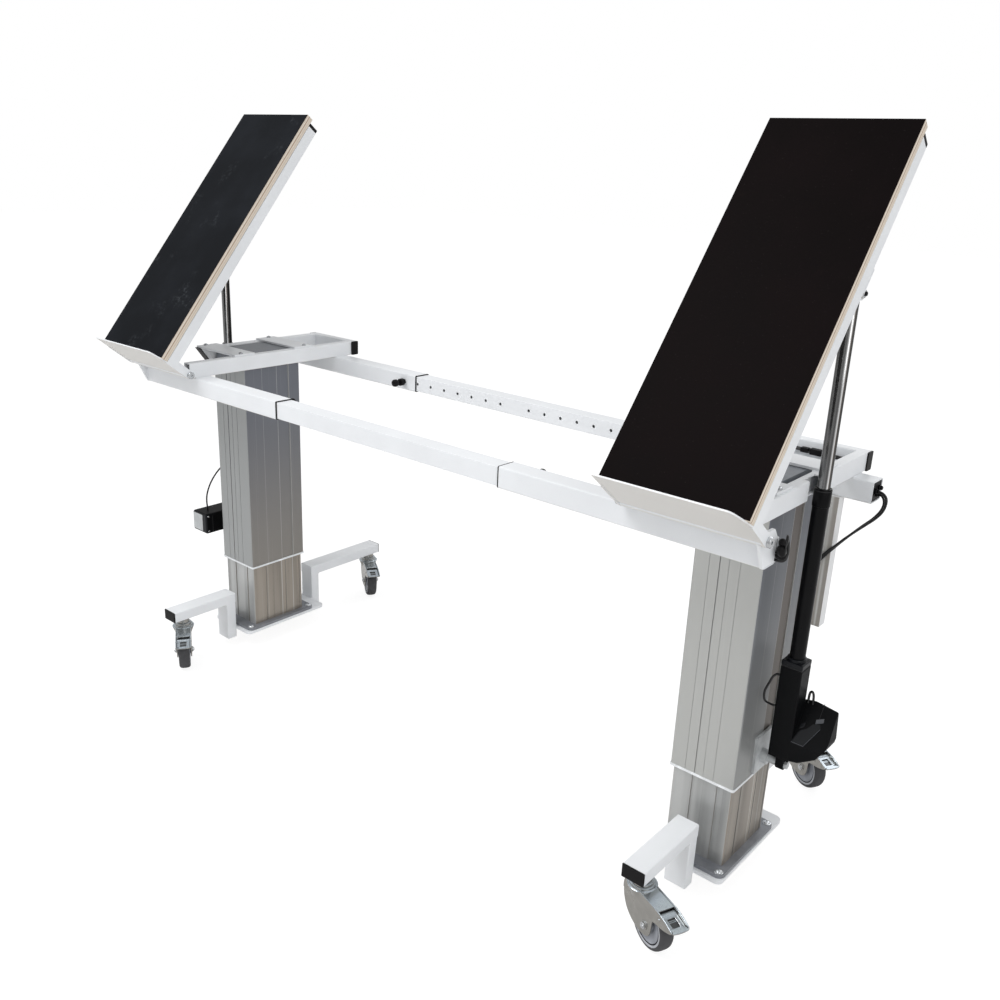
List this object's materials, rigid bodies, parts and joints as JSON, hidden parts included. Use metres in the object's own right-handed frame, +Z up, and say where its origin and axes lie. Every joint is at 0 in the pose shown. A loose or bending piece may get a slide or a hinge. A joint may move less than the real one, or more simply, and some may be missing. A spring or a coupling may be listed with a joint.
{
  "type": "tilt-top adjustable table",
  "caption": "Free-standing table on braked casters: lifting columns, sliding crossbars and tilting boards with a stop lip, each tilted by a linear actuator.",
  "frame": {"origin": "on the floor, under the middle of the whole part's box", "axes": "+X along the crossbars to the right as seen from the front, +Y to the rear, +Z up"},
  "size_m": [1.9648, 0.8338, 1.5079],
  "materials": {
    "white_paint": "white powder coat, semi-matt",
    "black_plastic": "moulded black plastic",
    "plate_grey": "matt grey plate",
    "zinc": "zinc-plated steel",
    "anodised": "anodised extrusion",
    "chrome": "polished steel rod",
    "caster_grey": "grey core with a dark tread",
    "white_plastic": "white glide plastic",
    "drive_grey": "cast head and drive tube",
    "bracket_grey": "light grey bracket",
    "board_black": "film-faced plywood, black faces and beige edges",
    "housing_black": "moulded black housing, painted tube",
    "cable_black": "black cable jacket"
  },
  "bodies": {
    "base_right": {"foot_right": "white_paint", "foot_caps_right": "black_plastic", "base_plate_right": "plate_grey", "base_screws_right": "zinc", "inner_column_right": "anodised", "push_rod_right": "chrome"},
    "frame_right": {"outer_column_right": "anodised", "glide_ring_right": "white_plastic", "lift_drive_right": "drive_grey", "top_frame_right": "white_paint", "frame_caps_right": "black_plastic", "index_sleeves_right": "black_plastic", "pivot_bracket_right": "bracket_grey", "frame_bolts_right": "zinc", "holder": "white_paint", "cables_right": "cable_black"},
    "base_left": {"foot_left": "white_paint", "foot_caps_left": "black_plastic", "base_plate_left": "plate_grey", "base_screws_left": "zinc", "inner_column_left": "anodised", "push_rod_left": "chrome"},
    "frame_left": {"outer_column_left": "anodised", "glide_ring_left": "white_plastic", "lift_drive_left": "drive_grey", "top_frame_left": "white_paint", "frame_caps_left": "black_plastic", "index_sleeves_left": "black_plastic", "pivot_bracket_left": "bracket_grey", "frame_bolts_left": "zinc"},
    "bridge": {"inner_bar_front": "white_paint", "inner_bar_rear": "white_paint"},
    "tilt_right": {"board_right": "board_black", "board_frame_right": "white_paint", "rail_caps_right": "black_plastic"},
    "tilt_left": {"board_left": "board_black", "board_frame_left": "white_paint", "rail_caps_left": "black_plastic"},
    "actuator_right": {"actuator_right": "housing_black", "cable_loop_right": "cable_black"},
    "actuator_left": {"actuator_left": "housing_black", "cable_left": "cable_black"},
    "rod_right": {"actuator_rod_right": "chrome"},
    "rod_left": {"actuator_rod_left": "chrome"},
    "plunger_right_front": {"plunger_right_front": "black_plastic"},
    "plunger_right_rear": {"plunger_right_rear": "black_plastic"},
    "plunger_left_front": {"plunger_left_front": "black_plastic"},
    "plunger_left_rear": {"plunger_left_rear": "black_plastic"},
    "swivel_rf": {"fork_rf": "zinc"},
    "wheel_rf": {"wheel_rf": "caster_grey"},
    "pedal_rf": {"pedal_rf": "zinc"},
    "swivel_rr": {"fork_rr": "zinc"},
    "wheel_rr": {"wheel_rr": "caster_grey"},
    "pedal_rr": {"pedal_rr": "zinc"},
    "swivel_lf": {"fork_lf": "zinc"},
    "wheel_lf": {"wheel_lf": "caster_grey"},
    "pedal_lf": {"pedal_lf": "zinc"},
    "swivel_lr": {"fork_lr": "zinc"},
    "wheel_lr": {"wheel_lr": "caster_grey"},
    "pedal_lr": {"pedal_lr": "zinc"}
  },
  "joints": [
    {"name": "lift_right", "type": "slide", "parent": "base_right", "child": "frame_right", "axis": [0, 0, 1], "range_m": [-0.18, 0.22]},
    {"name": "width_right", "type": "slide", "parent": "frame_right", "child": "bridge", "axis": [1, 0, 0], "range_m": [-0.15, 0.3]},
    {"name": "width_left", "type": "slide", "parent": "bridge", "child": "frame_left", "axis": [1, 0, 0], "range_m": [-0.15, 0.3]},
    {"name": "lift_left", "type": "slide", "parent": "frame_left", "child": "base_left", "axis": [0, 0, -1], "range_m": [-0.18, 0.22]},
    {"name": "tilt_right", "type": "hinge", "parent": "frame_right", "child": "tilt_right", "pos_m": [0.7849, -0.31884, 0.8527], "axis": [1, 0, 0], "range_deg": [-51.25, 2.75]},
    {"name": "swing_right", "type": "hinge", "parent": "frame_right", "child": "actuator_right", "pos_m": [0.8924, -0.02934, 0.286], "axis": [1, 0, 0], "range_deg": [-18.15, 1.05]},
    {"name": "stroke_right", "type": "slide", "parent": "actuator_right", "child": "rod_right", "axis": [0, 0, 1], "range_m": [-0.326, 0.018]},
    {"name": "tilt_left", "type": "hinge", "parent": "frame_left", "child": "tilt_left", "pos_m": [-0.8341, -0.31884, 0.8527], "axis": [1, 0, 0], "range_deg": [-51.25, 2.75]},
    {"name": "swing_left", "type": "hinge", "parent": "frame_left", "child": "actuator_left", "pos_m": [-0.9416, -0.02934, 0.286], "axis": [1, 0, 0], "range_deg": [-18.15, 1.05]},
    {"name": "stroke_left", "type": "slide", "parent": "actuator_left", "child": "rod_left", "axis": [0, 0, 1], "range_m": [-0.326, 0.018]},
    {"name": "pull_right_front", "type": "slide", "parent": "frame_right", "child": "plunger_right_front", "axis": [0, -1, 0], "range_m": [0, 0.007]},
    {"name": "pull_right_rear", "type": "slide", "parent": "frame_right", "child": "plunger_right_rear", "axis": [0, 1, 0], "range_m": [0, 0.007]},
    {"name": "pull_left_front", "type": "slide", "parent": "frame_left", "child": "plunger_left_front", "axis": [0, -1, 0], "range_m": [0, 0.007]},
    {"name": "pull_left_rear", "type": "slide", "parent": "frame_left", "child": "plunger_left_rear", "axis": [0, 1, 0], "range_m": [0, 0.007]},
    {"name": "swivel_rf", "type": "hinge", "parent": "base_right", "child": "swivel_rf", "pos_m": [0.7739, -0.33034, 0.125], "axis": [0, 0, 1], "continuous": true},
    {"name": "roll_rf", "type": "hinge", "parent": "swivel_rf", "child": "wheel_rf", "pos_m": [0.81425, -0.34788, 0.052], "axis": [0.3987, 0.9171, 0], "continuous": true},
    {"name": "brake_rf", "type": "hinge", "parent": "swivel_rf", "child": "pedal_rf", "pos_m": [0.85277, -0.36463, 0.097], "axis": [0.3987, 0.9171, 0], "range_deg": [0, 18]},
    {"name": "swivel_rr", "type": "hinge", "parent": "base_right", "child": "swivel_rr", "pos_m": [0.7739, 0.38266, 0.125], "axis": [0, 0, 1], "continuous": true},
    {"name": "roll_rr", "type": "hinge", "parent": "swivel_rr", "child": "wheel_rr", "pos_m": [0.8122, 0.36099, 0.052], "axis": [0.4924, 0.8704, 0], "continuous": true},
    {"name": "brake_rr", "type": "hinge", "parent": "swivel_rr", "child": "pedal_rr", "pos_m": [0.84875, 0.34031, 0.097], "axis": [0.4924, 0.8704, 0], "range_deg": [0, 18]},
    {"name": "swivel_lf", "type": "hinge", "parent": "base_left", "child": "swivel_lf", "pos_m": [-0.7881, -0.33034, 0.125], "axis": [0, 0, 1], "continuous": true},
    {"name": "roll_lf", "type": "hinge", "parent": "swivel_lf", "child": "wheel_lf", "pos_m": [-0.7512, -0.3543, 0.052], "axis": [0.5446, 0.8387, 0], "continuous": true},
    {"name": "brake_lf", "type": "hinge", "parent": "swivel_lf", "child": "pedal_lf", "pos_m": [-0.71597, -0.37718, 0.097], "axis": [0.5446, 0.8387, 0], "range_deg": [0, 18]},
    {"name": "swivel_lr", "type": "hinge", "parent": "base_left", "child": "swivel_lr", "pos_m": [-0.7881, 0.38266, 0.125], "axis": [0, 0, 1], "continuous": true},
    {"name": "roll_lr", "type": "hinge", "parent": "swivel_lr", "child": "wheel_lr", "pos_m": [-0.75141, 0.35837, 0.052], "axis": [0.5519, 0.8339, 0], "continuous": true},
    {"name": "brake_lr", "type": "hinge", "parent": "swivel_lr", "child": "pedal_lr", "pos_m": [-0.71639, 0.33519, 0.097], "axis": [0.5519, 0.8339, 0], "range_deg": [0, 18]}
  ],
  "couplings": [
    {"joint": "lift_left", "follows": "lift_right", "ratio": 1},
    {"joint": "swing_right", "follows": "tilt_right", "ratio": 0.352},
    {"joint": "stroke_right", "follows": "tilt_right", "m_per_rad": 0.363},
    {"joint": "swing_left", "follows": "tilt_left", "ratio": 0.352},
    {"joint": "stroke_left", "follows": "tilt_left", "m_per_rad": 0.363}
  ]
}
